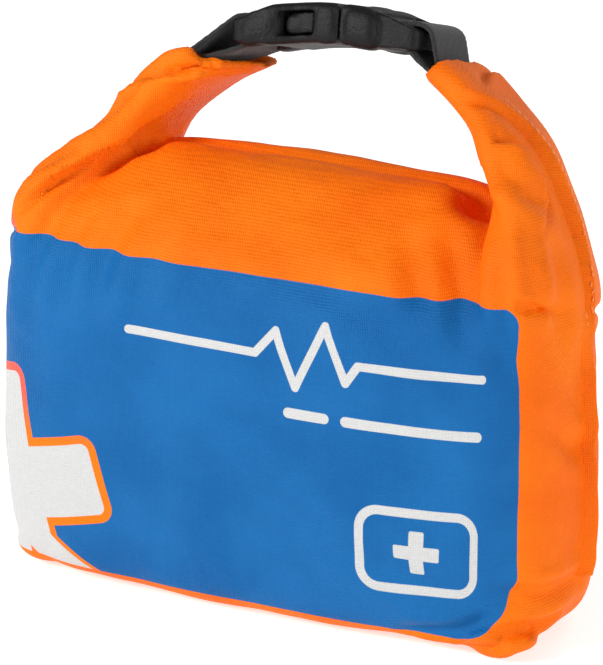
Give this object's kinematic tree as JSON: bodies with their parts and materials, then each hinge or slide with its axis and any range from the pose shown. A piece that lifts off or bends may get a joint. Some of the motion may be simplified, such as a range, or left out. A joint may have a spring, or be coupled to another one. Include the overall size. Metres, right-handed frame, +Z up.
{
  "type": "first aid kit",
  "caption": "Small soft waterproof first aid kit with a roll-top bag whose rolled ends bend up and clip together as a carrying handle.",
  "frame": {"origin": "on the surface that the bag stands on, under the middle of its base", "axes": "+X to the right of the printed face, +Y to the back, +Z up"},
  "size_m": [0.1592, 0.0661, 0.1494],
  "materials": {
    "orange_cloth": "coated woven nylon, satin, with a welded print",
    "webbing": "woven nylon webbing",
    "buckle_plastic": "moulded nylon with a fine spark texture",
    "mouth_strip": "flexible plastic strip",
    "gauze": "open-weave cotton gauze",
    "triangular_cloth": "unbleached non-woven cloth",
    "paper_pack": "sealed medical paper",
    "card": "pressed card",
    "tape": "woven zinc oxide tape",
    "glove_rubber": "nitrile in a film bag",
    "blanket_foil": "metallised film, folded",
    "leaflet_paper": "folded paper",
    "steel": "stainless steel"
  },
  "bodies": {
    "bag": {"front_panel": "orange_cloth", "back_panel": "orange_cloth", "base_panel": "orange_cloth", "right_side_seam": "orange_cloth", "left_side_seam": "orange_cloth", "top_roll": "orange_cloth", "top_mouth_strip": "mouth_strip", "gauze_bandage_wide": "gauze", "gauze_bandage_narrow": "gauze", "tape_core": "card", "tape_winding": "tape", "triangular_bandage": "triangular_cloth", "gloves_pack": "glove_rubber", "compress_pack_large": "paper_pack", "compress_pack_small": "paper_pack", "rescue_blanket": "blanket_foil", "plaster_pack": "paper_pack", "leaflet": "leaflet_paper", "tweezers": "steel", "scissors_blade_back": "steel", "scissors_rivet": "steel"},
    "right_arm": {"right_arm_roll": "orange_cloth", "right_mouth_strip": "mouth_strip", "right_webbing": "webbing"},
    "left_arm": {"left_arm_roll": "orange_cloth", "left_mouth_strip": "mouth_strip", "left_webbing": "webbing"},
    "male_half": {"buckle_male": "buckle_plastic"},
    "female_half": {"buckle_female": "buckle_plastic"},
    "prong_front": {"buckle_prong_front": "buckle_plastic"},
    "prong_back": {"buckle_prong_back": "buckle_plastic"},
    "scissors_front": {"scissors_blade_front": "steel"}
  },
  "joints": [
    {"name": "right_arm_swing", "type": "hinge", "parent": "bag", "child": "right_arm", "pos_m": [0.06079, 0.00958, 0.10336], "axis": [0, 0.9511, -0.309], "range_deg": [0, 60], "deforming": ["buckle_prong_front", "buckle_prong_back"]},
    {"name": "left_arm_swing", "type": "hinge", "parent": "bag", "child": "left_arm", "pos_m": [-0.06079, 0.00642, 0.09365], "axis": [0, 0.9511, -0.309], "range_deg": [-60, 0]},
    {"name": "male_tilt", "type": "hinge", "parent": "right_arm", "child": "male_half", "pos_m": [0.02496, 0.02214, 0.14201], "axis": [0, 0.9511, -0.309], "range_deg": [-60, 0], "deforming": ["right_webbing"]},
    {"name": "female_tilt", "type": "hinge", "parent": "left_arm", "child": "female_half", "pos_m": [-0.03224, 0.02065, 0.13744], "axis": [0, 0.9511, -0.309], "range_deg": [0, 60], "deforming": ["left_webbing"]},
    {"name": "prong_front_press", "type": "hinge", "parent": "male_half", "child": "prong_front", "pos_m": [0.00563, 0.01336, 0.14315], "axis": [0.0837, -0.3079, -0.9477], "range_deg": [0, 8], "stiffness_Nm_per_rad": 0.3},
    {"name": "prong_back_press", "type": "hinge", "parent": "male_half", "child": "prong_back", "pos_m": [0.00563, 0.02991, 0.13778], "axis": [-0.0837, 0.3079, 0.9477], "range_deg": [0, 8], "stiffness_Nm_per_rad": 0.3},
    {"name": "scissors_pivot", "type": "hinge", "parent": "bag", "child": "scissors_front", "pos_m": [0.006, 0.022, 0.046], "axis": [0, 1, 0], "range_deg": [0, 35]}
  ],
  "couplings": [
    {"joint": "left_arm_swing", "follows": "right_arm_swing", "ratio": -1},
    {"joint": "male_tilt", "follows": "right_arm_swing", "ratio": -1},
    {"joint": "female_tilt", "follows": "right_arm_swing", "ratio": 1}
  ]
}
